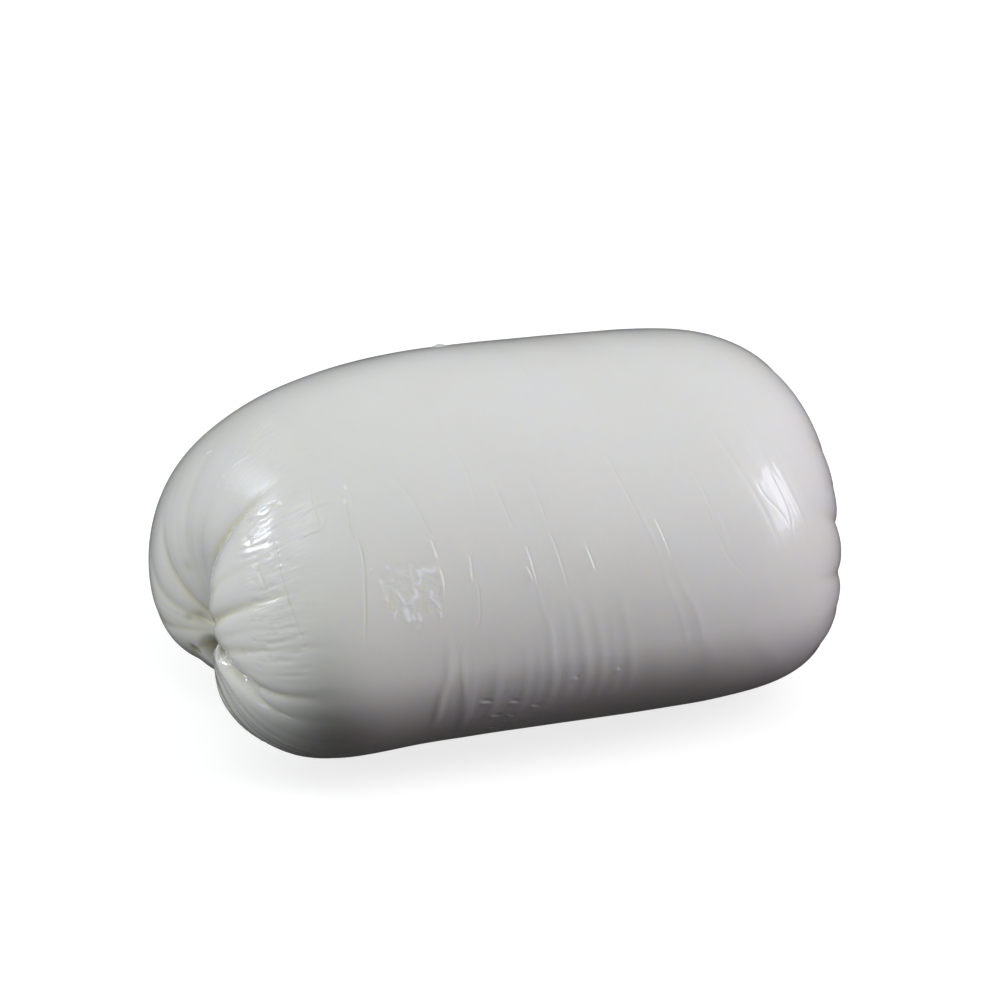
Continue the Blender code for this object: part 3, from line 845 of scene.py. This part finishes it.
# The cheese is wet, milky and faintly see-through. Painted crease shade, yellower and darker, lies in the
# creases, pleats and pits, and whey stains the torn patch; the strands are paler curd with a painted glint,
# the dent lips carry a painted glint, and the pinch hollow and the pits are painted dark with shade inside
MILK = (0.80, 0.80, 0.785, 1)
CREAM = (0.79, 0.788, 0.755, 1)
WHEY_AND_CREASE_SHADE = (0.75, 0.70, 0.43, 1)
HOLLOW_SHADE = (0.30, 0.275, 0.12, 1)
CURD_AND_GLINT = (0.88, 0.895, 0.93, 1)
material = bpy.data.materials.new("fresh_cheese")
material.use_nodes = True
shader = material.node_tree.nodes["Principled BSDF"]
wire = Wire(material.node_tree)
place = wire.node("ShaderNodeTexCoord", {}, {}, "Object")
crease_shade_and_whey, torn, pale_curd_and_glint, strained, hollow_and_shade = (
    wire.node("ShaderNodeAttribute", {"attribute_name": name}, {}, "Fac") for name in LOOKS
)


def clouds(per_metre, detail, stretch=(1, 1, 1)):
    """Uneven values from 0 to 1, with so many clouds to a metre."""
    spread = wire.node("ShaderNodeMapping", {}, {"Vector": place, "Scale": stretch})
    return wire.node("ShaderNodeTexNoise", {}, {"Vector": spread, "Scale": per_metre, "Detail": detail})


STREAK_REACH = 36 * MM


def streaks(per_metre, stretch):
    """Uneven values in lines that run from the left pinch."""
    pinch = (-HALF_LENGTH, 0, LEFT_PINCH["level"])
    offset = wire.node("ShaderNodeVectorMath", {"operation": "SUBTRACT"}, {0: place, 1: pinch})
    reach = wire.node("ShaderNodeVectorMath", {"operation": "LENGTH"}, {0: offset}, "Value")
    ahead, above = (wire.node("ShaderNodeSeparateXYZ", {}, {0: offset}, name) for name in "YZ")
    turn = above.maths("ARCTAN2", above, -1 * ahead)
    spread = wire.node("ShaderNodeCombineXYZ", {}, {"X": turn * STREAK_REACH, "Y": reach * stretch})
    return wire.node("ShaderNodeTexNoise", {}, {"Vector": spread, "Scale": per_metre, "Detail": 3})


# The milk is mottled with cream, and the painted crease shade and whey are uneven: clouds to a metre and
# their detail
MOTTLE, MOTTLE_FROM, MOTTLE_CONTRAST = (45, 3), 0.35, 2.5
SHADE_AND_WHEY_CLOUDS, SHADE_AND_WHEY_LEAST, SHADE_AND_WHEY_UNEVEN = (160, 2), 0.75, 0.5
mottle = ((clouds(*MOTTLE) - MOTTLE_FROM) * MOTTLE_CONTRAST).clipped()
colour = mottle.between(MILK, CREAM)
# Painted crease shade, and whey in blotches of the torn patch, turn the colour yellower and darker
colour = (crease_shade_and_whey * (SHADE_AND_WHEY_LEAST + SHADE_AND_WHEY_UNEVEN * clouds(*SHADE_AND_WHEY_CLOUDS))).clipped().between(colour, WHEY_AND_CREASE_SHADE)
# Painted glint on the strands and dent lips, over paler curd on the strands
colour = pale_curd_and_glint.between(colour, CURD_AND_GLINT)
# Painted shade inside the pinch hollow and the pits
colour = hollow_and_shade.between(colour, HOLLOW_SHADE)

# A wet film of uneven thickness lies on it, thin where the skin is strained
FILM = (70, 4)
SMOOTH, FILM_ROUGH, TORN_ROUGH = 0.10, 0.10, 0.18
COAT, FILM_COAT, STRAINED_COAT = 0.9, 0.5, 0.8
film = clouds(*FILM)
roughness = SMOOTH + FILM_ROUGH * film + TORN_ROUGH * torn

# The skin has a fine grain, coarser where it is torn or strained, faint hoops from rolling, and streaks
# along the pull where it is strained
GRAIN, GRAIN_LEAST, GRAIN_TORN, GRAIN_STRAINED = (2600, 3), 0.25, 0.8, 0.8
HOOPS, HOOP_STRETCH, HOOP_SHARE = (1100, 3), (1, 0.12, 0.12), 0.3
STREAKS, STREAK_SHARE = (2200, 0.15), 4.0
GRAIN_DEPTH = 0.03 * MM
grain = clouds(*GRAIN) * (GRAIN_LEAST + GRAIN_TORN * torn + GRAIN_STRAINED * strained)
grain = grain + HOOP_SHARE * clouds(*HOOPS, HOOP_STRETCH)
grain = grain + STREAK_SHARE * strained * streaks(*STREAKS)
bump = wire.node("ShaderNodeBump", {}, {"Height": grain, "Distance": GRAIN_DEPTH, "Strength": 1})
for name, value in {
    "IOR": 1.38,
    "Subsurface Weight": 1,
    "Subsurface Radius": (1.0, 0.9, 0.7),
    "Subsurface Scale": 0.7 * MM,
    "Coat Roughness": 0.05,
    "Coat IOR": 1.34,
}.items():
    shader.inputs[name].default_value = value
for name, value in {
    "Base Color": colour,
    "Roughness": roughness,
    "Coat Weight": (COAT - FILM_COAT * film) * (1 - STRAINED_COAT * strained),
    "Normal": bump,
}.items():
    wire.tree.links.new(value.socket, shader.inputs[name])
mesh.materials.append(material)

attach(cheese, "root")
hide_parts("mozzarella_log")

# ---------------------------------------------------------------------------------------------------
# The table top, and a pale dome far round it for the views from low down. They only show to the camera
# and light nothing, so that the underside of the loaf stays as dark as it is.
FLOOR_RADIUS = 6
DOME_RINGS, DOME_SEGMENTS = 12, 48
FLOOR_GLOW, DOME_GLOW = 0.78, 0.93


def pale_material(name, glow):
    made = bpy.data.materials.new(name)
    made.use_nodes = True
    plain = made.node_tree.nodes["Principled BSDF"]
    for socket, value in {
        "Base Color": (0.35, 0.35, 0.35, 1),
        "Roughness": 0.9,
        "Specular IOR Level": 0,
        "Emission Color": (1, 1, 1, 1),
        "Emission Strength": glow,
    }.items():
        plain.inputs[socket].default_value = value
    return made


def stage_piece(name, bm, glow):
    stage_mesh = bpy.data.meshes.new(name)
    bm.to_mesh(stage_mesh)
    bm.free()
    stage_mesh.materials.append(pale_material(name, glow))
    made = bpy.data.objects.new(name, stage_mesh)
    bpy.context.scene.collection.objects.link(made)
    made.visible_diffuse = False
    made.visible_glossy = False
    return made


bm = bmesh.new()
bmesh.ops.create_circle(bm, cap_ends=True, segments=DOME_SEGMENTS, radius=FLOOR_RADIUS)
stage_piece("table_top", bm, FLOOR_GLOW)
bm = bmesh.new()
bmesh.ops.create_uvsphere(bm, u_segments=DOME_SEGMENTS, v_segments=DOME_RINGS, radius=FLOOR_RADIUS)
bmesh.ops.delete(bm, geom=[face for face in bm.faces if face.calc_center_median().z < 0], context="FACES")
dome = stage_piece("pale_surround", bm, DOME_GLOW)
dome.visible_shadow = False

# ---------------------------------------------------------------------------------------------------
# The light. Two windows with their curtains, on the right and behind the left end, show in the wet skin.
# The rest is soft light from wide panels that are too even to show there.
LIGHTS = (
    # name, azimuth, elevation, width and height in metres, power in watts, colour, shows in the skin
    ("right_window", 66, 22, 0.28, 0.52, 2.6, (0.8, 0.83, 1), True),
    ("right_curtain", 66, 24, 0.5, 0.8, 1.0, (0.9, 0.93, 1), True),
    ("left_window", -132, 25, 0.16, 0.26, 1.7, (0.82, 0.87, 1), True),
    ("left_curtain", -112, 47, 0.3, 0.22, 0.5, (0.9, 0.95, 1), True),
    ("left_panel", -100, 5, 0.8, 0.8, 9.3, (0.94, 0.97, 1), False),
    ("high_left_panel", -60, 64, 0.8, 0.8, 2.8, (0.97, 0.985, 0.98), False),
    ("high_front_panel", 0, 64, 0.8, 0.8, 3.1, (0.97, 1, 0.98), False),
    ("high_right_panel", 55, 60, 0.8, 0.8, 1.2, (1, 1, 1), False),
    ("right_panel", 50, 38, 0.8, 0.8, 5.1, (0.96, 0.985, 1), False),
    ("low_right_panel", 68, 6, 0.8, 0.8, 2.2, (1, 0.6, 0.74), False),
    ("far_back_panel", -162, 12, 0.8, 0.8, 4.0, (1, 1, 1), False),
    ("back_panel", 150, 12, 0.8, 0.8, 6.9, (1, 0.99, 0.98), False),
)
LIGHT_DISTANCE = 1.2
MIDDLE = Vector((0, 0, 0.03))
ROOM_GLOW = (0.041, 0.041, 0.041, 1)


def towards(azimuth, elevation):
    """The unit vector from the loaf to where something stands: 0 degrees is in front, 90 to the right."""
    azimuth, elevation = math.radians(azimuth), math.radians(elevation)
    flat = math.cos(elevation)
    return Vector((math.sin(azimuth) * flat, -math.cos(azimuth) * flat, math.sin(elevation)))


for name, azimuth, elevation, width, height, power, tint, shows in LIGHTS:
    lamp = bpy.data.lights.new(name, "AREA")
    lamp.shape = "RECTANGLE"
    lamp.size, lamp.size_y = width, height
    lamp.energy = power
    lamp.color = tint
    stand = bpy.data.objects.new(name, lamp)
    direction = towards(azimuth, elevation)
    stand.location = MIDDLE + direction * LIGHT_DISTANCE
    stand.rotation_euler = direction.to_track_quat("Z", "Y").to_euler()
    stand.visible_camera = False
    stand.visible_glossy = shows
    bpy.context.scene.collection.objects.link(stand)

world = bpy.data.worlds.new("room")
world.use_nodes = True
world.node_tree.nodes["Background"].inputs["Color"].default_value = ROOM_GLOW
bpy.context.scene.world = world
bpy.context.scene.view_settings.view_transform = "Standard"

# ---------------------------------------------------------------------------------------------------
# The camera, a little above the loaf and to the left of its front, tilted by a small roll
CAMERA_AZIMUTH, CAMERA_ELEVATION, CAMERA_ROLL = -23.34, 20, 1.98
CAMERA_DISTANCE = 0.569
AIM_HEIGHT = 35.6 * MM
AIM_ASIDE, AIM_UP = -1.5 * MM, 0.5 * MM
FOCAL_LENGTH, SENSOR = 116.3, 36

back = towards(CAMERA_AZIMUTH, CAMERA_ELEVATION)
level = Vector((math.cos(math.radians(CAMERA_AZIMUTH)), math.sin(math.radians(CAMERA_AZIMUTH)), 0))
upright = back.cross(level)
roll = math.radians(CAMERA_ROLL)
rightward = level * math.cos(roll) + upright * math.sin(roll)
upward = upright * math.cos(roll) - level * math.sin(roll)
aim = Vector((0, 0, AIM_HEIGHT)) + rightward * AIM_ASIDE + upward * AIM_UP
lens = bpy.data.cameras.new("camera")
lens.lens = FOCAL_LENGTH
lens.sensor_width = SENSOR
camera = bpy.data.objects.new("camera", lens)
stance = Matrix((rightward, upward, back)).transposed().to_4x4()
stance.translation = aim + back * CAMERA_DISTANCE
camera.matrix_world = stance
bpy.context.scene.collection.objects.link(camera)
bpy.context.scene.camera = camera
